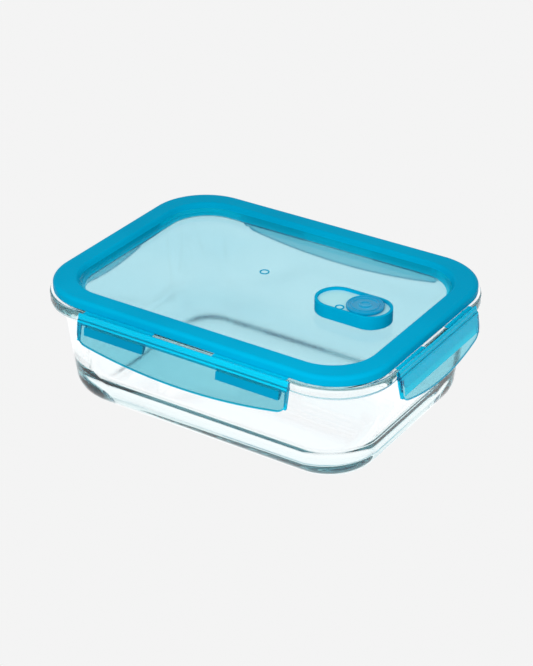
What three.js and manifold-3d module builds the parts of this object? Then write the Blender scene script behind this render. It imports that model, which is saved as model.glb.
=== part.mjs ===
// Rectangular glass food storage container with a four-latch snap lid.
// Millimetres, +Z up. The origin is the middle of the dish's underside; the long sides face -Y and +Y.
import * as THREE from 'three';
import { mergeVertices } from 'three/addons/utils/BufferGeometryUtils.js';
import Module from 'manifold-3d';

const wasm = await Module();
wasm.setup();

// ---- plan outline: every ring is an inset copy of the lid's outer edge ----
const LID_HALF_X = 97.4;
const LID_HALF_Y = 72.0;
const LID_CORNER_R = 31.2;
const CORNER_R_PER_INSET = 0.62;
const CORNER_SEGMENTS = 8;

// ---- glass dish ----
const GLASS_T = 4.4;
const WALL_INSET_AT_BASE = 9.8;
const WALL_DRAFT = 0.106;
const OUTER_FILLET_R = 13.9;
const INNER_FILLET_R = 21.0;
const FLOOR_T = 3.8;
const FLANGE_OUT = 1.56;
const FLANGE_BOTTOM_Z = 55.5;
const FLANGE_TOP_Z = 61.6;
const LIP_TOP_Z = 63.2;
const LIP_INSET = 2.3;
const LIP_T = 4.6;

// ---- lid ----
const SKIRT_BOTTOM_Z = 62.0;
const SKIRT_T = 1.7;
const RIM_TOP_Z = 67.3;
const RIM_T = 1.8;
const RIM_INNER_INSET = 11.0;
const PANEL_INSET = 14.2;
const PANEL_TOP_Z = 61.4;
const PANEL_T = 1.7;
const GATE_RING_AT = [-9.6, 14.0];
const GATE_RING_R = 2.6;

// ---- gasket in the rim channel ----
const GASKET_OUTER_INSET = 2.1;
const GASKET_INNER_INSET = 8.5;
const GASKET_BOTTOM_Z = 63.5;
const GASKET_TOP_Z = 65.2;

// ---- latches ----
const LATCH_HALF_LONG = 62.0;
const LATCH_HALF_SHORT = 39.2;
const LATCH_T = 1.5;
const LATCH_TOP_Z = 62.3;
const FOLD_Z = 59.2;
const LATCH_TIP_Z = 40.4;
const LATCH_TIP_RISE = 6.1;
const LATCH_OUT_AT_FOLD = 5.0;
const LATCH_OUT_AT_TIP = 7.6;
const HOOK_TOP_Z = 57.0;
const HOOK_BOTTOM_Z = 51.8;
const HOOK_REACH = 1.9;
const LONG_LATCH_HALF = 50.0;
const WEB_T = 0.45;
const WEB_Z = 62.1;
const SLOT_HALF_LONG = 17.6;
const SLOT_HALF_SHORT = 11.5;

// ---- steam vent ----
const VENT_X = 52.5;
const VENT_HALF_L = 21.0;
const VENT_R = 11.5;
const VENT_WALL = 1.5;
const VENT_TOP_Z = 68.3;
const WELL_Z = 66.9;
const WELL_T = 1.6;
const PLUG_X = 59.2;
const PLUG_R = 9.7;
const PLUG_STEM_R = 4.5;
const VENT_HOLE_R = 5.0;
const WELL_RING_AT = [48.3, -6.6];
const WELL_RING_R = 2.4;

// ---- looks ----
const GLASS = { color: 0xf2f8f7, roughness: 0.05, metalness: 0 };
const BLUE = { color: 0x00a2cd, roughness: 0.3, metalness: 0 };
const CLEAR_BLUE = { color: 0x7fd0e2, roughness: 0.25, metalness: 0 };
const SILICONE = { color: 0x1a9cc4, roughness: 0.6, metalness: 0 };

const object = new THREE.Group();

function material(look) {
  return new THREE.MeshStandardMaterial(look);
}

function addMesh(parent, name, geometry, look) {
  const mesh = new THREE.Mesh(geometry, material(look));
  mesh.name = name;
  parent.add(mesh);
  return mesh;
}

// ---- solid helpers ----
function signedVolume(positions, index) {
  let sum = 0;
  const a = new THREE.Vector3();
  const b = new THREE.Vector3();
  const c = new THREE.Vector3();
  for (let i = 0; i < index.length; i += 3) {
    a.fromArray(positions, index[i] * 3);
    b.fromArray(positions, index[i + 1] * 3);
    c.fromArray(positions, index[i + 2] * 3);
    sum += a.dot(b.cross(c)) / 6;
  }
  return sum;
}

function solidGeometry(positions, index) {
  if (signedVolume(positions, index) < 0) {
    for (let i = 0; i < index.length; i += 3) {
      const keep = index[i + 1];
      index[i + 1] = index[i + 2];
      index[i + 2] = keep;
    }
  }
  const geometry = new THREE.BufferGeometry();
  geometry.setAttribute('position', new THREE.Float32BufferAttribute(positions, 3));
  geometry.setIndex(index);
  geometry.computeVertexNormals();
  return geometry;
}

function toManifold(geometry) {
  const bare = geometry.clone();
  for (const name of Object.keys(bare.attributes)) {
    if (name !== 'position') bare.deleteAttribute(name);
  }
  const merged = mergeVertices(bare, 1e-4);
  return new wasm.Manifold(new wasm.Mesh({
    numProp: 3,
    vertProperties: new Float32Array(merged.attributes.position.array),
    triVerts: new Uint32Array(merged.index.array),
  }));
}

function fromManifold(solid) {
  const mesh = solid.getMesh();
  return solidGeometry(Array.from(mesh.vertProperties), Array.from(mesh.triVerts));
}

function union(geometries) {
  let solid = toManifold(geometries[0]);
  for (const geometry of geometries.slice(1)) {
    solid = solid.add(toManifold(geometry));
  }
  return solid;
}

// ---- rings that follow the rounded-rectangle outline ----
function outlinePoints(inset) {
  const r = LID_CORNER_R - CORNER_R_PER_INSET * inset;
  const cx = LID_HALF_X - inset - r;
  const cy = LID_HALF_Y - inset - r;
  const corners = [[cx, cy, 0], [-cx, cy, 0.5], [-cx, -cy, 1], [cx, -cy, 1.5]];
  const points = [];
  for (const [x, y, start] of corners) {
    for (let i = 0; i <= CORNER_SEGMENTS; i += 1) {
      const t = Math.PI * (start + 0.5 * i / CORNER_SEGMENTS);
      points.push([x + r * Math.cos(t), y + r * Math.sin(t)]);
    }
  }
  return points;
}

// A profile of [inset, z] points swept round the outline: capped at both ends, or closed on itself.
function ringSolid(profile, closed) {
  const positions = [];
  const index = [];
  let count = 0;
  for (const [inset, z] of profile) {
    const points = outlinePoints(inset);
    count = points.length;
    for (const [x, y] of points) positions.push(x, y, z);
  }
  const last = closed ? profile.length : profile.length - 1;
  for (let k = 0; k < last; k += 1) {
    const low = k * count;
    const high = ((k + 1) % profile.length) * count;
    for (let i = 0; i < count; i += 1) {
      const j = (i + 1) % count;
      index.push(low + i, low + j, high + j);
      index.push(low + i, high + j, high + i);
    }
  }
  if (!closed) {
    const top = (profile.length - 1) * count;
    for (let i = 1; i < count - 1; i += 1) {
      index.push(0, i + 1, i);
      index.push(top, top + i, top + i + 1);
    }
  }
  return solidGeometry(positions, index);
}

function arcPoints(cx, cz, r, from, to, steps) {
  const points = [];
  for (let i = 0; i <= steps; i += 1) {
    const t = THREE.MathUtils.degToRad(from + (to - from) * i / steps);
    points.push([cx + r * Math.cos(t), cz + r * Math.sin(t)]);
  }
  return points;
}

// ---- glass dish: an even wall, a thicker heel inside a big bottom radius, flange and sealing lip ----
function dishGeometry() {
  const slope = Math.hypot(1, WALL_DRAFT);
  const lean = THREE.MathUtils.radToDeg(Math.atan(WALL_DRAFT));
  const outer = (z) => WALL_INSET_AT_BASE - WALL_DRAFT * z;
  const inner = (z) => outer(z) + GLASS_T * slope;
  const outerC = outer(OUTER_FILLET_R) + OUTER_FILLET_R * slope;
  const innerCz = FLOOR_T + INNER_FILLET_R;
  const innerC = inner(innerCz) + INNER_FILLET_R * slope;
  const neckZ = FLANGE_BOTTOM_Z - 1.6;
  const profile = [
    ...arcPoints(outerC, OUTER_FILLET_R, OUTER_FILLET_R, 270, 180 + lean, 6),
    [outer(neckZ), neckZ],
    [outer(neckZ) - 0.9, FLANGE_BOTTOM_Z - 0.3],
    [outer(neckZ) - 2.2, FLANGE_BOTTOM_Z],
    [-FLANGE_OUT + 0.6, FLANGE_BOTTOM_Z],
    [-FLANGE_OUT, FLANGE_BOTTOM_Z + 0.7],
    [-FLANGE_OUT, FLANGE_TOP_Z - 0.9],
    [-FLANGE_OUT + 0.8, FLANGE_TOP_Z],
    [LIP_INSET - 0.2, FLANGE_TOP_Z],
    [LIP_INSET, FLANGE_TOP_Z + 0.2],
    [LIP_INSET, LIP_TOP_Z - 0.5],
    [LIP_INSET + 0.6, LIP_TOP_Z],
    [LIP_INSET + LIP_T - 0.7, LIP_TOP_Z],
    [LIP_INSET + LIP_T, LIP_TOP_Z - 0.8],
    [inner(FLANGE_BOTTOM_Z), FLANGE_BOTTOM_Z],
    ...arcPoints(innerC, innerCz, INNER_FILLET_R, 180 + lean, 270, 7),
  ];
  return ringSolid(profile, false);
}

// ---- lid: skirt, hollow rim, sloped inner wall, recessed panel ----
function lidBlank() {
  const channelZ = RIM_TOP_Z - RIM_T;
  const underZ = PANEL_TOP_Z - PANEL_T;
  const profile = [
    [PANEL_INSET - 2.1, underZ],
    [PANEL_INSET - 4.7, underZ + 3.1],
    [RIM_INNER_INSET - 2.2, channelZ],
    [SKIRT_T + 0.1, channelZ],
    [SKIRT_T, SKIRT_BOTTOM_Z],
    [0, SKIRT_BOTTOM_Z],
    [0, RIM_TOP_Z - 2.1],
    [0.6, RIM_TOP_Z - 0.7],
    [2.0, RIM_TOP_Z],
    [RIM_INNER_INSET - 1.1, RIM_TOP_Z],
    [RIM_INNER_INSET, RIM_TOP_Z - 0.6],
    [RIM_INNER_INSET + 0.8, RIM_TOP_Z - 2.2],
    [PANEL_INSET - 1.5, PANEL_TOP_Z + 1.0],
    [PANEL_INSET, PANEL_TOP_Z],
  ];
  return ringSolid(profile, false);
}

function obround(halfLength, radius) {
  const shape = new THREE.Shape();
  const c = halfLength - radius;
  shape.absarc(c, 0, radius, -Math.PI / 2, Math.PI / 2, false);
  shape.absarc(-c, 0, radius, Math.PI / 2, Math.PI * 1.5, false);
  return shape;
}

function extruded(shape, bottom, top, curveSegments) {
  const geometry = new THREE.ExtrudeGeometry(shape, {
    depth: top - bottom,
    bevelEnabled: false,
    curveSegments,
  });
  geometry.translate(0, 0, bottom);
  return geometry;
}

function ringShape(outerR, innerR) {
  const shape = new THREE.Shape();
  shape.absarc(0, 0, outerR, 0, Math.PI * 2, false);
  const hole = new THREE.Path();
  hole.absarc(0, 0, innerR, 0, Math.PI * 2, true);
  shape.holes.push(hole);
  return shape;
}

// The vent stands on a hollow obround platform, open below, with a low rim round its top.
function lidGeometry() {
  const underZ = PANEL_TOP_Z - PANEL_T;
  const innerShape = obround(VENT_HALF_L - VENT_WALL, VENT_R - VENT_WALL);
  const platform = extruded(obround(VENT_HALF_L, VENT_R), PANEL_TOP_Z - 0.4, VENT_TOP_Z, 12);
  const well = extruded(innerShape, WELL_Z, VENT_TOP_Z + 1, 12);
  const chamber = extruded(innerShape, underZ - 1, WELL_Z - WELL_T, 12);
  for (const part of [platform, well, chamber]) part.translate(VENT_X, 0, 0);
  const gate = extruded(ringShape(GATE_RING_R, GATE_RING_R - 0.7), PANEL_TOP_Z - 0.4, PANEL_TOP_Z + 0.25, 10);
  gate.translate(GATE_RING_AT[0], GATE_RING_AT[1], 0);
  const wellRing = extruded(ringShape(WELL_RING_R, WELL_RING_R - 0.7), WELL_Z - 0.4, WELL_Z + 0.3, 10);
  wellRing.translate(WELL_RING_AT[0], WELL_RING_AT[1], 0);
  const bore = new THREE.CylinderGeometry(VENT_HOLE_R, VENT_HOLE_R, 6, 24);
  bore.rotateX(Math.PI / 2);
  bore.translate(PLUG_X, 0, WELL_Z);
  const cuts = union([well, chamber, bore]);
  const solid = union([lidBlank(), platform, gate]).subtract(cuts);
  return fromManifold(solid.add(toManifold(wellRing)));
}

// ---- gasket: flat sealing band with an inner lip that hangs inside the glass ----
function gasketGeometry() {
  const profile = [
    [GASKET_OUTER_INSET, GASKET_TOP_Z],
    [GASKET_OUTER_INSET, GASKET_BOTTOM_Z],
    [GASKET_INNER_INSET - 1.1, GASKET_BOTTOM_Z],
    [GASKET_INNER_INSET - 0.9, GASKET_BOTTOM_Z - 0.6],
    [GASKET_INNER_INSET - 0.1, GASKET_BOTTOM_Z - 0.6],
    [GASKET_INNER_INSET, GASKET_TOP_Z],
  ];
  return ringSolid(profile, true);
}

// ---- latch, drawn for the -Y side: u is the distance outward from the lid's edge ----
function latchOut(z) {
  const t = (FOLD_Z - z) / (FOLD_Z - LATCH_TIP_Z);
  return LATCH_OUT_AT_FOLD + (LATCH_OUT_AT_TIP - LATCH_OUT_AT_FOLD) * t;
}

function latchTip(x, half) {
  return LATCH_TIP_Z + LATCH_TIP_RISE * (x / half) ** 2;
}

function barAlongX(profileUZ, x0, x1, edge) {
  const shape = new THREE.Shape(profileUZ.map(([u, z]) => new THREE.Vector2(-edge - u, z)));
  const bar = new THREE.ExtrudeGeometry(shape, { depth: x1 - x0, bevelEnabled: false });
  bar.applyMatrix4(new THREE.Matrix4().set(
    0, 0, 1, x0,
    1, 0, 0, 0,
    0, 1, 0, 0,
    0, 0, 0, 1,
  ));
  return bar;
}

function latchPlate(half, edge) {
  const r = 5.0;
  const steps = 10;
  const shape = new THREE.Shape();
  shape.moveTo(-half, FOLD_Z);
  shape.lineTo(-half, latchTip(half, half) + r);
  shape.quadraticCurveTo(-half, latchTip(half, half), -half + r, latchTip(half - r, half));
  for (let i = 1; i < steps; i += 1) {
    const x = (half - r) * (-1 + 2 * i / steps);
    shape.lineTo(x, latchTip(x, half));
  }
  shape.lineTo(half - r, latchTip(half - r, half));
  shape.quadraticCurveTo(half, latchTip(half, half), half, latchTip(half, half) + r);
  shape.lineTo(half, FOLD_Z);
  const plate = new THREE.ExtrudeGeometry(shape, { depth: LATCH_T, bevelEnabled: false, curveSegments: 4 });
  const position = plate.attributes.position;
  for (let i = 0; i < position.count; i += 1) {
    const z = position.getY(i);
    const y = -edge - latchOut(z) + LATCH_T - position.getZ(i);
    position.setXYZ(i, position.getX(i), y, z);
  }
  const bare = mergeVertices(stripped(plate), 1e-4);
  return solidGeometry(Array.from(bare.attributes.position.array), Array.from(bare.index.array));
}

function stripped(geometry) {
  const bare = geometry.clone();
  bare.deleteAttribute('normal');
  bare.deleteAttribute('uv');
  return bare;
}

function latchGeometry(half, edge, slotHalf) {
  const head = [[2.6, LATCH_TOP_Z], [3.2, LATCH_TOP_Z], [4.1, LATCH_TOP_Z - 1.1],
    [4.1, FOLD_Z - 0.6], [2.6, FOLD_Z - 0.6]];
  const bead = [[2.1, FOLD_Z - 0.4], [4.4, FOLD_Z - 0.4], [4.4, FOLD_Z - 1.9], [2.1, FOLD_Z - 1.7]];
  const hook = [[HOOK_REACH, HOOK_TOP_Z], [latchOut(HOOK_TOP_Z) - 0.5, HOOK_TOP_Z],
    [latchOut(HOOK_BOTTOM_Z) - 0.5, HOOK_BOTTOM_Z], [latchOut(HOOK_BOTTOM_Z) - 2.3, HOOK_BOTTOM_Z],
    [HOOK_REACH, HOOK_BOTTOM_Z + 2.6]];
  const wallFoot = latchTip(half, half) + 1.6;
  const endWall = [[2.1, LATCH_TOP_Z - 0.8], [3.4, LATCH_TOP_Z - 0.8], [latchOut(FOLD_Z) - 0.4, FOLD_Z - 0.4],
    [latchOut(wallFoot) - 0.4, wallFoot], [latchOut(wallFoot) - 1.9, wallFoot], [3.0, FOLD_Z - 4]];
  const x0 = slotHalf + 4.2;
  const x1 = half - 4.4;
  // Two hooks on a long latch, one long hook on a short latch.
  const hooks = half > LONG_LATCH_HALF ? [[x0, x1], [-x1, -x0]] : [[-x1, x1]];
  const parts = [
    latchPlate(half, edge),
    barAlongX(head, -half, half, edge),
    barAlongX(bead, -half + 1, half - 1, edge),
    ...hooks.map(([from, to]) => barAlongX(hook, from, to, edge)),
    barAlongX(endWall, half - 1.5, half, edge),
    barAlongX(endWall, -half, -half + 1.5, edge),
  ];
  return fromManifold(union(parts));
}

// A living-hinge web: thin strip between the lid's skirt and the latch head.
function webGeometry(x0, x1, edge) {
  const web = [[0.3, WEB_Z], [2.3, WEB_Z], [2.3, WEB_Z + WEB_T], [0.3, WEB_Z + WEB_T]];
  return fromManifold(toManifold(barAlongX(web, x0, x1, edge)));
}

// ---- vent plug and its sealing ring ----
function plugGeometry() {
  const z = WELL_Z;
  const profile = [[0, z - 2.7], [PLUG_STEM_R - 0.6, z - 2.7], [PLUG_STEM_R, z - 2.1], [PLUG_STEM_R, z + 1.2],
    [7.6, z + 1.2], [8.0, z + 0.4], [PLUG_R - 0.3, z + 0.4], [PLUG_R, z + 0.7], [PLUG_R, z + 1.8],
    [PLUG_R - 0.6, z + 2.3], [8.7, z + 2.3], [8.3, z + 1.75], [7.5, z + 1.65], [7.1, z + 2.2],
    [6.5, z + 2.2], [6.1, z + 1.7], [3.5, z + 1.7], [3.0, z + 2.25], [2.4, z + 2.25], [2.0, z + 1.75],
    [0, z + 1.75]];
  const points = profile.map(([r, h]) => new THREE.Vector2(r, h));
  const lathe = new THREE.LatheGeometry(points, 28);
  lathe.rotateX(Math.PI / 2);
  lathe.translate(PLUG_X, 0, 0);
  return fromManifold(toManifold(lathe));
}

function ventSealGeometry() {
  const z = WELL_Z;
  const points = [[4.9, z + 0.3], [7.1, z + 0.3], [7.3, z + 0.5], [7.1, z + 0.9], [4.9, z + 0.9], [4.9, z + 0.3]];
  const lathe = new THREE.LatheGeometry(points.map(([r, h]) => new THREE.Vector2(r, h)), 28);
  lathe.rotateX(Math.PI / 2);
  lathe.translate(PLUG_X, 0, 0);
  return fromManifold(toManifold(lathe));
}

// ---- assembly ----
addMesh(object, 'glass_dish', dishGeometry(), GLASS);
addMesh(object, 'lid_shell', lidGeometry(), BLUE);
addMesh(object, 'rim_gasket', gasketGeometry(), SILICONE);
addMesh(object, 'vent_plug', plugGeometry(), CLEAR_BLUE);
addMesh(object, 'vent_seal', ventSealGeometry(), SILICONE);

const SIDES = [
  ['front', 0, LATCH_HALF_LONG, LID_HALF_Y, SLOT_HALF_LONG],
  ['right', Math.PI / 2, LATCH_HALF_SHORT, LID_HALF_X, SLOT_HALF_SHORT],
  ['back', Math.PI, LATCH_HALF_LONG, LID_HALF_Y, SLOT_HALF_LONG],
  ['left', -Math.PI / 2, LATCH_HALF_SHORT, LID_HALF_X, SLOT_HALF_SHORT],
];
for (const [side, turn, half, edge, slotHalf] of SIDES) {
  const group = new THREE.Group();
  group.rotation.z = turn;
  addMesh(group, `latch_${side}`, latchGeometry(half, edge, slotHalf), CLEAR_BLUE);
  addMesh(group, `web_${side}_a`, webGeometry(-half + 2, -slotHalf, edge), CLEAR_BLUE);
  addMesh(group, `web_${side}_b`, webGeometry(slotHalf, half - 2, edge), CLEAR_BLUE);
  object.add(group);
}

export default object;
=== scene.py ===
"""Looks for a rectangular glass food container with a tinted four-latch lid.

Outlines and profiles are written in millimetres, and become metres when a mesh is made.
"""

import math

import bmesh
import bpy
from mathutils import Matrix, Vector


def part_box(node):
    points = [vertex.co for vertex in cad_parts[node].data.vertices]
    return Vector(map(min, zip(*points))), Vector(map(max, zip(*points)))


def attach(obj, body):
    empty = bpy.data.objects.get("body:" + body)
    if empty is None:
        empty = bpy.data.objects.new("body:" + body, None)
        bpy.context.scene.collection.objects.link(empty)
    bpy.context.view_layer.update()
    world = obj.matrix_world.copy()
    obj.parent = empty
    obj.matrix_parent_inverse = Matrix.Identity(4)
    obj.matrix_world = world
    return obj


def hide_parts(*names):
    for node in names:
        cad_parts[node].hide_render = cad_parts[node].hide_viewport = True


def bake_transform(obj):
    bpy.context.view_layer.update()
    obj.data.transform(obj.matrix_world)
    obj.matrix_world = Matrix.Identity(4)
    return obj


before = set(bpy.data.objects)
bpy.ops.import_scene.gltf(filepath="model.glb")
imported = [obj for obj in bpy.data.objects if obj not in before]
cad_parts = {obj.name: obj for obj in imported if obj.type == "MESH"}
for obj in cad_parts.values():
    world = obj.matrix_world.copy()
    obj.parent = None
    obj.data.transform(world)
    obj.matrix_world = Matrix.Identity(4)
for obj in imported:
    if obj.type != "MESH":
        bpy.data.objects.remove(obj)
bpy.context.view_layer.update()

MM = 0.001


def box_mm(node):
    """Lowest and highest corner of a CAD node in millimetres."""
    low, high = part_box(node)
    return low / MM, high / MM


# ---- sizes read from the frame ----
DISH_HIGH = box_mm("glass_dish")[1]
LID_LOW, LID_HIGH = box_mm("lid_shell")
GASKET_LOW, GASKET_HIGH = box_mm("rim_gasket")
PLUG_LOW, PLUG_HIGH = box_mm("vent_plug")
SEAL_LOW, SEAL_HIGH = box_mm("vent_seal")
FRONT_LOW, FRONT_HIGH = box_mm("latch_front")
RIGHT_HIGH = box_mm("latch_right")[1]

# ---- plan outline: every ring is an inset copy of the lid's outer edge ----
HALF_X = LID_HIGH.x
HALF_Y = LID_HIGH.y
CORNER_R = 31.2
CORNER_R_PER_INSET = 0.62
CORNER_STEPS = 28

# ---- glass dish ----
GLASS_T = 4.4
WALL_INSET_AT_BASE = 9.8
WALL_DRAFT = 0.106
OUTER_FILLET_R = 13.9
INNER_FILLET_R = 21.0
FLOOR_T = 3.8
FLANGE_BOTTOM_Z = 55.5
FLANGE_TOP_Z = 61.6
FLANGE_OUT = DISH_HIGH.x - HALF_X
LIP_TOP_Z = DISH_HIGH.z
LIP_INSET = 2.3
LIP_T = 4.6
GLASS_COLOUR = (0.55, 0.80, 0.82)
GLASS_DENSITY = 22.0

# ---- lid ----
VENT_TOP_Z = LID_HIGH.z
RIM_TOP_Z = VENT_TOP_Z - 1.0
RIM_T = 1.8
RIM_INNER_INSET = 11.0
SKIRT_BOTTOM_Z = 62.0
SKIRT_T = 1.7
PANEL_UNDER_Z = LID_LOW.z
PANEL_T = 1.7
PANEL_TOP_Z = PANEL_UNDER_Z + PANEL_T
PANEL_INSET = 14.2
GATE_X, GATE_Y, GATE_R = -9.6, 14.0, 2.6
# Rows of the lid profile on the rim's inner slopes, under and over the panel's edge; they get the
# lighter slope blue, painted light on the recess walls.
SLOPE_UNDER = range(1, 8)
SLOPE_OVER = range(45, 52)

# ---- vent ----
VENT_X = 52.5
VENT_HALF_L = 21.0
VENT_R = 11.5
VENT_WALL = 1.5
WELL_Z = 66.9
WELL_T = 1.6
PLUG_X = (PLUG_LOW.x + PLUG_HIGH.x) / 2
PLUG_R = (PLUG_HIGH.x - PLUG_LOW.x) / 2
PLUG_STEM_R = 4.5
VENT_HOLE_R = 5.0
SEAL_BORE_R = 4.9
WELL_RING_X, WELL_RING_Y, WELL_RING_R = 48.3, -6.6, 2.4
PLATFORM_EDGE_R = 0.25
TUBE_WALL = 0.7

# ---- latches: u is the distance outward from the lid's edge ----
LATCH_T = 1.5
LATCH_TOP_Z = FRONT_HIGH.z
LATCH_TIP_Z = FRONT_LOW.z
LATCH_TIP_RISE = 6.1
LATCH_CORNER_R = 5.0
FOLD_Z = 59.2
OUT_AT_FOLD = 5.0
OUT_AT_TIP = -FRONT_LOW.y - HALF_Y
HEAD_IN, HEAD_OUT = 2.6, 4.1
BEAD_IN = 2.1
TIP_ROUND = 0.55
HOOK_TOP_Z = 57.0
HOOK_BOTTOM_Z = 51.8
HOOK_REACH = 1.9
HOOK_PROUD = 0.04
BAND_TOP_Z = 58.4
BAND_BOTTOM_Z = 49.2
BAND_PROUD = 0.06
BAND_DEPTH = 0.7
BAND_END = 1.7
END_WALL_T = 1.5
END_WALL_SHY = 0.01
HOOK_FROM_SLOT, HOOK_FROM_END = 4.2, 4.4
LONG_LATCH_HALF = 50.0
# The plate's broad outer and inner faces, and the fold's rounded corner, which stays light as a
# painted highlight line.
CLEAR_FACES = (24, 25, 26, 31, 43)
HOOK_OUTER_FACES = range(4, 12)
WEB_Z = 62.1
WEB_T = 0.45
WEB_FROM_END = 2.0

# Side, turn about Z, half length, lid edge, half of the slot between the two webs.
SIDES = [
    ("front", 0.0, FRONT_HIGH.x, HALF_Y, 17.6),
    ("right", math.pi / 2, RIGHT_HIGH.y, HALF_X, 11.5),
    ("back", math.pi, FRONT_HIGH.x, HALF_Y, 17.6),
    ("left", -math.pi / 2, RIGHT_HIGH.y, HALF_X, 11.5),
]

# ---- camera, aimed like the photograph ----
VIEW_AZIMUTH = 33.015
VIEW_ELEVATION = 29.208
VIEW_DISTANCE = 0.97803
VIEW_TARGET = Vector((-0.00088, 0.00243, 0.03308))
LENS_MM = 101.31
SENSOR_MM = 36.0

# ---- studio: linear light values ----
PALE = 0.904
EVEN_LIGHT = 0.60
FLOOR_GLOW = (1.14, 1.10, 1.10)
FLOOR_HALF = 3.0
FLOOR_Z = -0.0004
MOST_BOUNCES, CLEAR_BOUNCES = 40, 32
DOME_HEIGHTS = [
    (0.0, (0.30, 0.46, 0.50)),
    (0.06, (0.36, 0.54, 0.58)),
    (0.24, (1.0, 1.0, 1.0)),
]
LAMPS = [
    ("front_lamp", (0.17, -0.40, 0.32), 0.25, 1.45),
]


# ---------------------------------------------------------------- materials
def new_material(name):
    material = bpy.data.materials.new(name)
    material.use_nodes = True
    nodes = material.node_tree.nodes
    return material, nodes, material.node_tree.links, nodes["Principled BSDF"]


def object_noise(nodes, links, scale, detail=3.0):
    """A noise texture in object space, so it stays on the piece when the piece moves."""
    where = nodes.new("ShaderNodeTexCoord")
    noise = nodes.new("ShaderNodeTexNoise")
    noise.inputs["Scale"].default_value = scale
    noise.inputs["Detail"].default_value = detail
    links.new(where.outputs["Object"], noise.inputs["Vector"])
    return noise


def add_bump(nodes, links, shader, noise, strength, distance):
    bump = nodes.new("ShaderNodeBump")
    bump.inputs["Strength"].default_value = strength
    bump.inputs["Distance"].default_value = distance
    links.new(noise.outputs["Fac"], bump.inputs["Height"])
    links.new(bump.outputs["Normal"], shader.inputs["Normal"])


def add_colours(nodes, links, shader, noise, low, high, start=0.35, end=0.65):
    ramp = nodes.new("ShaderNodeValToRGB")
    ramp.color_ramp.elements[0].position = start
    ramp.color_ramp.elements[0].color = (*low, 1)
    ramp.color_ramp.elements[1].position = end
    ramp.color_ramp.elements[1].color = (*high, 1)
    links.new(noise.outputs["Fac"], ramp.inputs["Fac"])
    links.new(ramp.outputs["Color"], shader.inputs["Base Color"])


def glass_material():
    material, nodes, links, shader = new_material("clear_glass")
    shader.inputs["Base Color"].default_value = (1.0, 1.0, 1.0, 1)
    shader.inputs["Roughness"].default_value = 0.0
    shader.inputs["IOR"].default_value = 1.5
    shader.inputs["Transmission Weight"].default_value = 1.0
    waves = object_noise(nodes, links, 26.0, 1.0)
    add_bump(nodes, links, shader, waves, 0.06, 0.0006)
    absorb = nodes.new("ShaderNodeVolumeAbsorption")
    absorb.inputs["Color"].default_value = (*GLASS_COLOUR, 1)
    absorb.inputs["Density"].default_value = GLASS_DENSITY
    links.new(absorb.outputs["Volume"], nodes["Material Output"].inputs["Volume"])
    return material


def tinted_plastic(name, low, high, roughness, clear=1.0, index=1.46):
    """Clear coloured plastic with faint flow lines and a slightly uneven surface."""
    material, nodes, links, shader = new_material(name)
    shader.inputs["Roughness"].default_value = roughness
    shader.inputs["IOR"].default_value = index
    shader.inputs["Specular Tint"].default_value = (0.3, 0.75, 0.9, 1)
    shader.inputs["Transmission Weight"].default_value = clear
    flow = object_noise(nodes, links, 9.0)
    add_colours(nodes, links, shader, flow, low, high)
    skin = object_noise(nodes, links, 240.0, 2.0)
    add_bump(nodes, links, shader, skin, 0.05, 0.0002)
    return material


def deep_plastic(name, low, high, roughness, specular):
    """Thick or doubled coloured plastic, which looks solid."""
    material, nodes, links, shader = new_material(name)
    shader.inputs["Roughness"].default_value = roughness
    shader.inputs["Specular IOR Level"].default_value = specular
    shader.inputs["Specular Tint"].default_value = (0.25, 0.75, 0.9, 1)
    flow = object_noise(nodes, links, 14.0)
    add_colours(nodes, links, shader, flow, low, high)
    skin = object_noise(nodes, links, 420.0, 2.0)
    add_bump(nodes, links, shader, skin, 0.06, 0.0002)
    return material


def silicone_material():
    material, nodes, links, shader = new_material("blue_silicone")
    shader.inputs["Roughness"].default_value = 0.55
    shader.inputs["Specular IOR Level"].default_value = 0.3
    shader.inputs["Transmission Weight"].default_value = 0.2
    flow = object_noise(nodes, links, 20.0)
    add_colours(nodes, links, shader, flow, (0.004, 0.34, 0.58), (0.01, 0.42, 0.66))
    grain = object_noise(nodes, links, 900.0, 2.0)
    add_bump(nodes, links, shader, grain, 0.15, 0.0002)
    return material


GLASS = glass_material()
RIM_BLUE = deep_plastic("lid_blue", (0.0, 0.358, 0.60), (0.0, 0.405, 0.66), 0.3, 0.005)
HOOK_BLUE = deep_plastic("hook_blue", (0.0, 0.235, 0.43), (0.0, 0.29, 0.49), 0.35, 0.04)
# A lighter, half-clear copy of the lid blue for the rim's inner slopes: painted light that takes
# out the shade of the recess walls, partly standing for light that really passes through their thin
# plastic.
SLOPE_PAINTED_LIGHT_BLUE = tinted_plastic("lid_slope_painted_light_blue", (0.0, 0.46, 0.70), (0.0, 0.54, 0.77), 0.15, 0.5, 1.2)
WELL_PALE = deep_plastic("well_pale_blue", (0.37, 0.76, 0.83), (0.46, 0.83, 0.88), 0.3, 0.12)
PANEL_BLUE = tinted_plastic("panel_blue", (0.38, 0.685, 0.77), (0.44, 0.73, 0.80), 0.08,
                            index=1.22)
LATCH_CLEAR = tinted_plastic("latch_light_blue", (0.20, 0.56, 0.66), (0.24, 0.61, 0.70), 0.07,
                             index=1.33)
# On the latch heads this deep blue is a painted see-through and reflection of the blue skirt behind
# the clear plastic; on the hooks' faces other than the outward one it is painted light that lifts
# their shade.
LATCH_DEEP = tinted_plastic("latch_deep_blue", (0.0, 0.58, 0.86), (0.0, 0.66, 0.92), 0.22,
                            0.3, 1.25)
PLUG_BLUE = tinted_plastic("plug_blue", (0.0, 0.35, 0.66), (0.0, 0.47, 0.78), 0.04, 0.35, 1.42)
SILICONE = silicone_material()
LATCH_SKINS = [LATCH_CLEAR, LATCH_DEEP, HOOK_BLUE]


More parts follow.
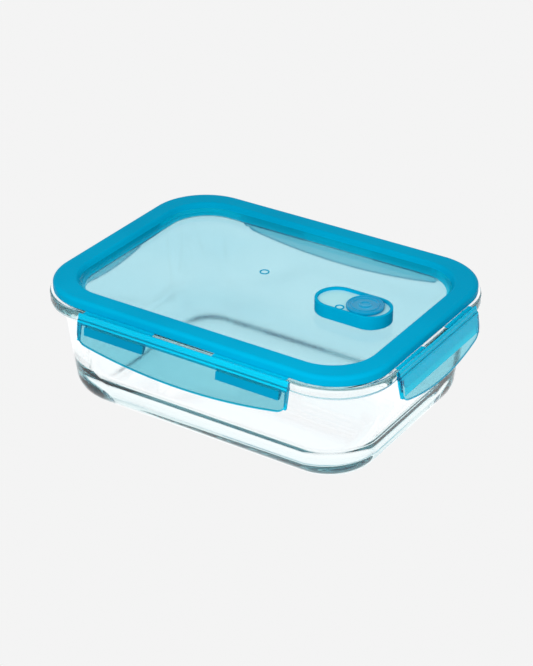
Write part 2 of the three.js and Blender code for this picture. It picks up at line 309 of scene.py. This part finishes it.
# ---------------------------------------------------------------- mesh helpers
def outline(inset, steps=CORNER_STEPS):
    """Points of the rounded rectangle that lies inset millimetres inside the lid's edge."""
    r = CORNER_R - CORNER_R_PER_INSET * inset
    cx, cy = HALF_X - inset - r, HALF_Y - inset - r
    points = []
    for x, y, start in ((cx, cy, 0.0), (-cx, cy, 0.5), (-cx, -cy, 1.0), (cx, -cy, 1.5)):
        for i in range(steps + 1):
            t = math.pi * (start + 0.5 * i / steps)
            points.append((x + r * math.cos(t), y + r * math.sin(t)))
    return points


def arc(cx, cz, r, start, end, steps):
    """Points on an arc; angles in degrees."""
    turns = [math.radians(start + (end - start) * i / steps) for i in range(steps + 1)]
    return [(cx + r * math.cos(t), cz + r * math.sin(t)) for t in turns]


def rounded(profile, radius, steps=4, closed=True):
    """A copy of a polygon with its corners curved, each over at most radius on either side."""
    out = []
    count = len(profile)
    for i, point in enumerate(profile):
        p = Vector(point)
        if not closed and i in (0, count - 1):
            out.append(tuple(p))
            continue
        before, after = Vector(profile[i - 1]) - p, Vector(profile[(i + 1) % count]) - p
        cut = min(radius, before.length * 0.45, after.length * 0.45)
        a, b = p + before.normalized() * cut, p + after.normalized() * cut
        for k in range(steps + 1):
            t = k / steps
            out.append(tuple(a * (1 - t) ** 2 + p * (2 * t * (1 - t)) + b * t ** 2))
    return out


def mesh_object(name, vertices, faces, materials, face_materials=None, sharp=40.0):
    mesh = bpy.data.meshes.new(name)
    mesh.from_pydata([Vector(v) * MM for v in vertices], [], faces)
    for material in materials:
        mesh.materials.append(material)
    if face_materials:
        mesh.polygons.foreach_set("material_index", face_materials)
    work = bmesh.new()
    work.from_mesh(mesh)
    bmesh.ops.recalc_face_normals(work, faces=work.faces)
    work.to_mesh(mesh)
    work.free()
    mesh.shade_smooth()
    mesh.set_sharp_from_angle(angle=math.radians(sharp))
    piece = bpy.data.objects.new(name, mesh)
    bpy.context.scene.collection.objects.link(piece)
    return piece


def ring_sweep(name, profile, closed, materials, material_of=None, sharp=40.0):
    """A profile of (inset, z) points swept round the outline; open profiles are capped."""
    vertices, faces, kinds = [], [], []
    rings = [[(x, y, z) for x, y in outline(inset)] for inset, z in profile]
    count = len(rings[0])
    for ring in rings:
        vertices.extend(ring)
    for k in range(len(rings) if closed else len(rings) - 1):
        low, high = k * count, (k + 1) % len(rings) * count
        for i in range(count):
            j = (i + 1) % count
            faces.append((low + i, low + j, high + j, high + i))
            kinds.append(material_of(k) if material_of else 0)
    if not closed:
        top = (len(rings) - 1) * count
        faces.append(tuple(range(count)))
        faces.append(tuple(range(top, top + count)))
        kinds += [material_of(0), material_of(len(rings) - 2)] if material_of else [0, 0]
    return mesh_object(name, vertices, faces, materials, kinds, sharp)


def loft(name, sections, materials, kinds=None, sharp=40.0):
    """Closed sections with equal counts joined in order, capped at both ends."""
    count = len(sections[0])
    vertices = [point for section in sections for point in section]
    faces, materials_of_faces = [], []
    for k in range(len(sections) - 1):
        for i in range(count):
            j = (i + 1) % count
            faces.append((k * count + i, k * count + j, (k + 1) * count + j, (k + 1) * count + i))
            materials_of_faces.append(kinds[i] if kinds else 0)
    last = (len(sections) - 1) * count
    faces += [tuple(range(count)), tuple(range(last, last + count))]
    materials_of_faces += [0, 0]
    return mesh_object(name, vertices, faces, materials, materials_of_faces, sharp)


def prism(name, points, bottom, top, materials, low_kind=0, high_kind=0):
    """An upright prism of a plan outline; the ends can have other materials than the side."""
    sections = [[(x, y, bottom) for x, y in points], [(x, y, top) for x, y in points]]
    piece = loft(name, sections, materials)
    piece.data.polygons[-2].material_index = low_kind
    piece.data.polygons[-1].material_index = high_kind
    return piece


def lathe(name, profile, centre_x, materials, steps=72, sharp=40.0, kinds=None):
    """A closed (radius, z) profile turned about a vertical axis; points on the axis are shared."""
    vertices, faces, rows, face_kinds = [], [], [], []
    for r, z in profile:
        if r < 1e-6:
            rows.append([len(vertices)] * steps)
            vertices.append((centre_x, 0.0, z))
        else:
            rows.append(list(range(len(vertices), len(vertices) + steps)))
            turns = [2 * math.pi * i / steps for i in range(steps)]
            vertices += [(centre_x + r * math.cos(t), r * math.sin(t), z) for t in turns]
    for k in range(len(rows)):
        a, b = rows[k], rows[(k + 1) % len(rows)]
        for i in range(steps):
            j = (i + 1) % steps
            corners = list(dict.fromkeys((a[i], a[j], b[j], b[i])))
            if len(corners) > 2:
                faces.append(tuple(corners))
                face_kinds.append(kinds(k) if kinds else 0)
    return mesh_object(name, vertices, faces, materials, face_kinds, sharp)


def obround(centre_x, half_length, radius, steps=28):
    """Points of a plan outline with straight sides and half-round ends."""
    c = half_length - radius
    points = []
    for i in range(steps + 1):
        t = -math.pi / 2 + math.pi * i / steps
        points.append((centre_x + c + radius * math.cos(t), radius * math.sin(t)))
    for i in range(steps + 1):
        t = math.pi / 2 + math.pi * i / steps
        points.append((centre_x - c + radius * math.cos(t), radius * math.sin(t)))
    return points


def fuse(piece, others, operation="UNION", sharp=40.0):
    """Joins or cuts the other pieces into piece by exact booleans, and removes them."""
    for other in others:
        step = piece.modifiers.new("fuse", "BOOLEAN")
        step.solver = "EXACT"
        step.operation = operation
        step.object = other
    depsgraph = bpy.context.evaluated_depsgraph_get()
    made = bpy.data.meshes.new_from_object(piece.evaluated_get(depsgraph))
    piece.modifiers.clear()
    piece.data = made
    for other in others:
        bpy.data.objects.remove(other)
    made.shade_smooth()
    made.set_sharp_from_angle(angle=math.radians(sharp))
    return piece


def finish_piece(piece, body, slot, *nodes):
    """Even shading over big faces, then the piece takes its place on its body."""
    even = piece.modifiers.new("even_shading", "WEIGHTED_NORMAL")
    even.keep_sharp = True
    even.weight = 80
    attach(piece, body)
    if nodes:
        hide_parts(*nodes)
    return piece


# ---------------------------------------------------------------- glass dish
def build_dish():
    slope = math.hypot(1, WALL_DRAFT)
    lean = math.degrees(math.atan(WALL_DRAFT))

    def outer(z):
        return WALL_INSET_AT_BASE - WALL_DRAFT * z

    def inner(z):
        return outer(z) + GLASS_T * slope

    outer_c = outer(OUTER_FILLET_R) + OUTER_FILLET_R * slope
    inner_cz = FLOOR_T + INNER_FILLET_R
    inner_c = inner(inner_cz) + INNER_FILLET_R * slope
    neck_z = FLANGE_BOTTOM_Z - 1.6
    flange = rounded([
        (outer(20), 20),
        (outer(neck_z) + 0.05, neck_z + 1.5),
        (-FLANGE_OUT, FLANGE_BOTTOM_Z),
        (-FLANGE_OUT, FLANGE_TOP_Z),
        (LIP_INSET, FLANGE_TOP_Z),
        (LIP_INSET, LIP_TOP_Z),
        (LIP_INSET + LIP_T, LIP_TOP_Z),
        (inner(FLANGE_BOTTOM_Z), FLANGE_BOTTOM_Z),
        (inner(40), 40),
    ], 1.5, 6, closed=False)
    profile = [(outer_c + 1.0, 0.0)]
    profile += arc(outer_c, OUTER_FILLET_R, OUTER_FILLET_R, 270, 180 + lean, 22)
    profile += flange
    profile += arc(inner_c, inner_cz, INNER_FILLET_R, 180 + lean, 270, 26)
    profile += [(inner_c + 1.0, FLOOR_T)]
    dish = ring_sweep("dish", profile, False, [GLASS], sharp=60.0)
    return finish_piece(dish, "dish", "glass", "glass_dish")


# ---------------------------------------------------------------- lid
def build_lid():
    channel_z = RIM_TOP_Z - RIM_T
    outside = rounded([
        (PANEL_INSET - 2.1, PANEL_UNDER_Z),
        (PANEL_INSET - 4.7, PANEL_UNDER_Z + 3.1),
        (RIM_INNER_INSET - 2.2, channel_z),
        (SKIRT_T + 0.1, channel_z),
        (SKIRT_T, SKIRT_BOTTOM_Z),
        (0.0, SKIRT_BOTTOM_Z),
        (0.0, RIM_TOP_Z - 1.2),
        (1.4, RIM_TOP_Z),
        (RIM_INNER_INSET - 0.4, RIM_TOP_Z),
        (RIM_INNER_INSET + 0.8, RIM_TOP_Z - 2.2),
        (PANEL_INSET - 1.5, PANEL_TOP_Z + 1.0),
        (PANEL_INSET, PANEL_TOP_Z),
    ], 0.9, 4, closed=False)
    profile = [(PANEL_INSET - 1.0, PANEL_UNDER_Z)] + outside + [(PANEL_INSET + 1.0, PANEL_TOP_Z)]
    rows = len(profile)

    def kind(k):
        if k == 0 or k >= rows - 2:
            return 1
        # Kind 3 is the lighter slope blue, painted light on the recess walls.
        return 3 if k in SLOPE_UNDER or k in SLOPE_OVER else 0

    skins = [RIM_BLUE, PANEL_BLUE, WELL_PALE, SLOPE_PAINTED_LIGHT_BLUE]
    lid = ring_sweep("lid", profile, False, skins, kind)
    base = PANEL_TOP_Z - 0.4
    inner = obround(VENT_X, VENT_HALF_L - VENT_WALL, VENT_R - VENT_WALL)
    platform = prism("platform", obround(VENT_X, VENT_HALF_L, VENT_R), base, VENT_TOP_Z, skins)
    soften(platform, PLATFORM_EDGE_R)
    well = prism("well", inner, WELL_Z, VENT_TOP_Z + 1, skins, low_kind=2)
    chamber = prism("chamber", inner, PANEL_UNDER_Z - 1, WELL_Z - WELL_T, skins, high_kind=2)
    gate = tube("gate", GATE_X, GATE_Y, GATE_R, base, PANEL_TOP_Z + 0.25, skins)
    mark = tube("mark", WELL_RING_X, WELL_RING_Y, WELL_RING_R, WELL_Z - 0.4, WELL_Z + 0.3, skins)
    low, high = WELL_Z - 3, WELL_Z + 1
    bore = [(0, low), (VENT_HOLE_R, low), (VENT_HOLE_R, high), (0, high)]
    hole = lathe("hole", bore, PLUG_X, skins)
    fuse(lid, [platform, gate])
    fuse(lid, [well, chamber, hole], "DIFFERENCE")
    fuse(lid, [mark])
    return finish_piece(lid, "lid", "lid_blue", "lid_shell")


def tube(name, x, y, r, low, high, materials):
    """A short upright tube round a vertical axis at x, y."""
    bore = r - TUBE_WALL
    piece = lathe(name, [(r, low), (r, high), (bore, high), (bore, low)], x, materials)
    piece.data.transform(Matrix.Translation((0, y * MM, 0)))
    return piece


def soften(piece, width):
    """Rounds the sharp edges of a piece."""
    work = bmesh.new()
    work.from_mesh(piece.data)
    edges = [e for e in work.edges if e.is_manifold and e.calc_face_angle() > math.radians(50)]
    bmesh.ops.bevel(work, geom=edges, offset=width * MM, segments=3, profile=0.5, affect="EDGES")
    work.to_mesh(piece.data)
    work.free()


def build_gasket():
    low, high = GASKET_LOW.z, GASKET_HIGH.z
    section = [(2.1, high), (2.1, low + 0.6), (7.4, low + 0.6), (7.6, low), (8.4, low), (8.5, high)]
    profile = rounded(section, 0.3, 3)
    gasket = ring_sweep("gasket", profile, True, [SILICONE])
    return finish_piece(gasket, "lid", "silicone", "rim_gasket")


# ---------------------------------------------------------------- vent
def build_plug():
    z = WELL_Z
    low, high = PLUG_LOW.z, PLUG_HIGH.z
    profile = [(0, low), (PLUG_STEM_R - 0.6, low), (PLUG_STEM_R, low + 0.6), (PLUG_STEM_R, z + 1.2),
               (7.6, z + 1.2), (8.0, z + 0.4), (PLUG_R - 0.3, z + 0.4), (PLUG_R, z + 0.7),
               (PLUG_R, high - 0.5), (PLUG_R - 0.6, high), (8.7, high), (8.3, z + 1.75),
               (7.5, z + 1.65), (7.1, z + 2.2), (6.5, z + 2.2), (6.1, z + 1.7), (3.5, z + 1.7),
               (3.0, high - 0.05), (2.4, high - 0.05), (2.0, z + 1.75), (0, z + 1.75)]
    inside = rounded(profile, 0.3, 4, closed=False)
    plug = lathe("plug", inside, PLUG_X, [PLUG_BLUE])
    return finish_piece(plug, "vent", "plug_blue", "vent_plug")


def build_seal():
    low, high = SEAL_LOW.z, SEAL_HIGH.z
    outer_r = (SEAL_HIGH.x - SEAL_LOW.x) / 2
    section = [(SEAL_BORE_R, low), (outer_r - 0.2, low), (outer_r, low + 0.2),
               (outer_r - 0.2, high), (SEAL_BORE_R, high)]
    profile = rounded(section, 0.2, 3)
    seal = lathe("seal", profile, PLUG_X, [SILICONE])
    return finish_piece(seal, "vent", "silicone", "vent_seal")


# ---------------------------------------------------------------- latches
def latch_out(z):
    """How far the plate's outward face stands from the lid's edge at height z."""
    return OUT_AT_FOLD + (OUT_AT_TIP - OUT_AT_FOLD) * (FOLD_Z - z) / (FOLD_Z - LATCH_TIP_Z)


def latch_tip(x, half):
    """Height of the latch's curved lower edge, with its rounded ends."""
    z = LATCH_TIP_Z + LATCH_TIP_RISE * (x / half) ** 2
    past = abs(x) - (half - LATCH_CORNER_R)
    if past > 0:
        z += LATCH_CORNER_R - math.sqrt(max(LATCH_CORNER_R ** 2 - past ** 2, 0.0))
    return z


def latch_stations(half):
    """Places along the latch: even over the middle, closer round the end corners."""
    middle = half - LATCH_CORNER_R
    steps = 40
    inner = [-middle + 2 * middle * i / steps for i in range(steps + 1)]
    turns = [math.pi / 2 * i / 8 for i in range(1, 9)]
    ends = [middle + LATCH_CORNER_R * math.sin(t) for t in turns]
    return [-x for x in reversed(ends)] + inner + ends


def latch_section(x, half):
    """The latch cut across at a station: head, leaning plate, round tip and inner bead."""
    tip = latch_tip(x, half)
    foot = tip + TIP_ROUND
    foot_out = latch_out(foot)
    plate = [
        (BEAD_IN, FOLD_Z - 0.4), (HEAD_IN, FOLD_Z - 0.2), (HEAD_IN, LATCH_TOP_Z),
        (HEAD_OUT - 0.5, LATCH_TOP_Z), (HEAD_OUT, LATCH_TOP_Z - 1.0), (HEAD_OUT, FOLD_Z + 0.9),
        (OUT_AT_FOLD - 0.25, FOLD_Z + 0.35), (latch_out(FOLD_Z - 0.6), FOLD_Z - 0.6),
        (foot_out, foot), (foot_out - LATCH_T / 2, tip), (foot_out - LATCH_T, foot),
        (latch_out(FOLD_Z - 2.4) - LATCH_T, FOLD_Z - 2.4), (BEAD_IN + 0.8, FOLD_Z - 1.9),
        (BEAD_IN, FOLD_Z - 1.5),
    ]
    return rounded(plate, 0.4, 3)


def latch_kind(i):
    """Light on the broad faces of the plate and on the fold's rounded corner, which is kept light
    as a painted highlight line; deeper on the head and the thin lower edge. On the head the deep
    blue is a painted see-through and reflection of the blue skirt behind the clear plastic.
    """
    return 0 if i in CLEAR_FACES else 1


def place(points, x, edge):
    """(u, z) points at a station x of the front side."""
    return [(x, -edge - u, z) for u, z in points]


def hook_kinds(count):
    """Dark on the hook's outward face, which shows through the plate as a dark bar. The hook's
    other faces take the lighter deep latch blue, painted light that lifts the shade between latch
    and glass.
    """
    return [2 if i in HOOK_OUTER_FACES else 1 for i in range(count)]


def bar(name, profile, x0, x1, edge, kinds):
    """A straight bar of one (u, z) profile along a latch."""
    piece = loft(name, [place(profile, x0, edge), place(profile, x1, edge)], LATCH_SKINS, kinds)
    piece.data.polygons[-2].material_index = 1
    piece.data.polygons[-1].material_index = 1
    return piece


def build_latch(side, turn, half, edge, slot_half):
    """A latch with its hooks and end walls; the short ones have one long hook and a deep band."""
    sections = [place(latch_section(x, half), x, edge) for x in latch_stations(half)]
    kinds = [latch_kind(i) for i in range(len(sections[0]))]
    latch = loft(f"latch_{side}_body", sections, LATCH_SKINS, kinds)
    hook = rounded([
        (HOOK_REACH, HOOK_TOP_Z), (latch_out(HOOK_TOP_Z) + HOOK_PROUD, HOOK_TOP_Z),
        (latch_out(HOOK_BOTTOM_Z) + HOOK_PROUD, HOOK_BOTTOM_Z),
        (latch_out(HOOK_BOTTOM_Z) - 2.3, HOOK_BOTTOM_Z),
        (HOOK_REACH, HOOK_BOTTOM_Z + 2.6)], 0.5, 3)
    band = [(latch_out(z) + shift, z) for shift, z in (
        (-BAND_DEPTH, BAND_TOP_Z), (BAND_PROUD, BAND_TOP_Z),
        (BAND_PROUD, BAND_BOTTOM_Z), (-BAND_DEPTH, BAND_BOTTOM_Z))]
    foot = latch_tip(half, half) - LATCH_CORNER_R + 1.6
    wall = [
        (2.1, LATCH_TOP_Z - 0.8), (3.4, LATCH_TOP_Z - 0.8), (latch_out(FOLD_Z) - 0.4, FOLD_Z - 0.4),
        (latch_out(foot) - 0.4, foot), (latch_out(foot) - 1.9, foot), (3.0, FOLD_Z - 4)]
    x0, x1 = slot_half + HOOK_FROM_SLOT, half - HOOK_FROM_END
    hooks = [(x0, x1), (-x1, -x0)] if half > LONG_LATCH_HALF else [(-x1, x1)]
    parts = [bar("hook", hook, a, b, edge, hook_kinds(len(hook))) for a, b in hooks]
    deep = [1] * len(wall)
    parts += [bar("wall_a", wall, half - END_WALL_T, half - END_WALL_SHY, edge, deep),
              bar("wall_b", wall, END_WALL_SHY - half, END_WALL_T - half, edge, deep)]
    if half <= LONG_LATCH_HALF:
        parts.append(bar("band", band, BAND_END - half, half - BAND_END, edge, [1] * len(band)))
    fuse(latch, parts)
    latch.data.transform(Matrix.Rotation(turn, 4, "Z"))
    return finish_piece(latch, f"{side}_latch", "latch_blue", f"latch_{side}")


def build_web(side, turn, x0, x1, edge, letter):
    """A thin hinge strip between the skirt and the latch head."""
    steps, along = 12, 24
    inner, outer = 0.25, HEAD_IN - 0.1
    sections = []
    for i in range(along + 1):
        x = x0 + (x1 - x0) * i / along
        us = [inner + (outer - inner) * k / steps for k in range(steps + 1)]
        thin = [WEB_T * (0.62 + 0.38 * (2 * k / steps - 1) ** 2) for k in range(steps + 1)]
        top = [(u, WEB_Z + t) for u, t in zip(us, thin)]
        under = [(u, WEB_Z) for u in reversed(us)]
        sections.append(place(top + under, x, edge))
    web = loft(f"web_{side}_{letter}_strip", sections, [LATCH_DEEP])
    web.data.transform(Matrix.Rotation(turn, 4, "Z"))
    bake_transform(web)
    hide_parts(f"web_{side}_{letter}")
    return web


# ---------------------------------------------------------------- studio
def by_ray_kind(nodes, links, clear, matt, seen, result):
    """What clear surfaces see, what lights matt surfaces, and what the camera sees directly."""
    path = nodes.new("ShaderNodeLightPath")
    lighting = nodes.new("ShaderNodeMixShader")
    links.new(path.outputs["Is Diffuse Ray"], lighting.inputs["Fac"])
    links.new(clear, lighting.inputs[1])
    links.new(matt, lighting.inputs[2])
    view = nodes.new("ShaderNodeMixShader")
    links.new(path.outputs["Is Camera Ray"], view.inputs["Fac"])
    links.new(lighting.outputs["Shader"], view.inputs[1])
    links.new(seen, view.inputs[2])
    links.new(view.outputs["Shader"], result)


def build_world(scene):
    """An even grey for the camera, even light for matt surfaces, and a dome for clear ones."""
    world = bpy.data.worlds.new("studio")
    scene.world = world
    world.use_nodes = True
    nodes, links = world.node_tree.nodes, world.node_tree.links
    dome = nodes["Background"]
    where = nodes.new("ShaderNodeTexCoord")
    split = nodes.new("ShaderNodeSeparateXYZ")
    ramp = nodes.new("ShaderNodeValToRGB")
    ramp.color_ramp.elements[0].position = DOME_HEIGHTS[0][0]
    ramp.color_ramp.elements[0].color = (*DOME_HEIGHTS[0][1], 1)
    ramp.color_ramp.elements[1].position = DOME_HEIGHTS[-1][0]
    ramp.color_ramp.elements[1].color = (*DOME_HEIGHTS[-1][1], 1)
    for height, colour in DOME_HEIGHTS[1:-1]:
        step = ramp.color_ramp.elements.new(height)
        step.color = (*colour, 1)
    links.new(where.outputs["Generated"], split.inputs["Vector"])
    links.new(split.outputs["Z"], ramp.inputs["Fac"])
    links.new(ramp.outputs["Color"], dome.inputs["Color"])
    even = nodes.new("ShaderNodeBackground")
    even.inputs["Color"].default_value = (EVEN_LIGHT, EVEN_LIGHT, EVEN_LIGHT, 1)
    backdrop = nodes.new("ShaderNodeBackground")
    backdrop.inputs["Color"].default_value = (PALE, PALE, PALE, 1)
    by_ray_kind(nodes, links, dome.outputs["Background"], even.outputs["Background"],
                backdrop.outputs["Background"], nodes["World Output"].inputs["Surface"])


def build_floor(scene):
    """A plain pale floor that glows evenly; it can't be seen from below."""
    floor_mesh = bpy.data.meshes.new("floor")
    corners = ((-1, -1), (1, -1), (1, 1), (-1, 1))
    points = [(x * FLOOR_HALF, y * FLOOR_HALF, FLOOR_Z) for x, y in corners]
    floor_mesh.from_pydata(points, [], [(0, 1, 2, 3)])
    floor = bpy.data.objects.new("floor", floor_mesh)
    scene.collection.objects.link(floor)
    material = bpy.data.materials.new("floor_pale")
    material.use_nodes = True
    nodes, links = material.node_tree.nodes, material.node_tree.links
    nodes.remove(nodes["Principled BSDF"])
    glow = nodes.new("ShaderNodeEmission")
    glow.inputs["Color"].default_value = (PALE, PALE, PALE, 1)
    lit = nodes.new("ShaderNodeEmission")
    lit.inputs["Color"].default_value = (*FLOOR_GLOW, 1)
    even = nodes.new("ShaderNodeEmission")
    even.inputs["Color"].default_value = (EVEN_LIGHT, EVEN_LIGHT, EVEN_LIGHT, 1)
    face = nodes.new("ShaderNodeNewGeometry")
    gone = nodes.new("ShaderNodeBsdfTransparent")
    one_sided = nodes.new("ShaderNodeMixShader")
    links.new(face.outputs["Backfacing"], one_sided.inputs["Fac"])
    links.new(gone.outputs["BSDF"], one_sided.inputs[2])
    links.new(one_sided.outputs["Shader"], nodes["Material Output"].inputs["Surface"])
    by_ray_kind(nodes, links, lit.outputs["Emission"], even.outputs["Emission"],
                glow.outputs["Emission"], one_sided.inputs[1])
    floor_mesh.materials.append(material)


def build_lamps(scene):
    """Lamps that light matt surfaces, but make no spots in the glass."""
    for name, place_at, size, power in LAMPS:
        lamp = bpy.data.lights.new(name, "AREA")
        lamp.shape = "DISK"
        lamp.size = size
        lamp.energy = power
        holder = bpy.data.objects.new(name, lamp)
        holder.location = place_at
        holder.rotation_mode = "QUATERNION"
        holder.visible_glossy = False
        holder.visible_transmission = False
        holder.rotation_quaternion = (VIEW_TARGET - Vector(place_at)).to_track_quat("-Z", "Y")
        scene.collection.objects.link(holder)


def build_studio():
    scene = bpy.context.scene
    scene.view_settings.view_transform = "Standard"
    # Thick glass needs many bounces, or its edges turn black.
    scene.cycles.max_bounces = MOST_BOUNCES
    scene.cycles.glossy_bounces = CLEAR_BOUNCES
    scene.cycles.transmission_bounces = CLEAR_BOUNCES
    build_world(scene)
    build_floor(scene)
    build_lamps(scene)


def build_camera():
    azimuth, elevation = math.radians(VIEW_AZIMUTH), math.radians(VIEW_ELEVATION)
    back = Vector((math.sin(azimuth) * math.cos(elevation),
                   -math.cos(azimuth) * math.cos(elevation),
                   math.sin(elevation)))
    lens = bpy.data.cameras.new("camera")
    lens.lens = LENS_MM
    lens.sensor_width = SENSOR_MM
    lens.clip_start, lens.clip_end = 0.05, 20.0
    camera = bpy.data.objects.new("camera", lens)
    camera.location = VIEW_TARGET + back * VIEW_DISTANCE
    camera.rotation_mode = "QUATERNION"
    camera.rotation_quaternion = (-back).to_track_quat("-Z", "Y")
    bpy.context.scene.collection.objects.link(camera)
    bpy.context.scene.camera = camera


build_camera()
build_dish()
build_lid()
build_gasket()
build_plug()
build_seal()
for side, turn, half, edge, slot_half in SIDES:
    build_latch(side, turn, half, edge, slot_half)
    build_web(side, turn, -half + WEB_FROM_END, -slot_half, edge, "a")
    build_web(side, turn, slot_half, half - WEB_FROM_END, edge, "b")
build_studio()
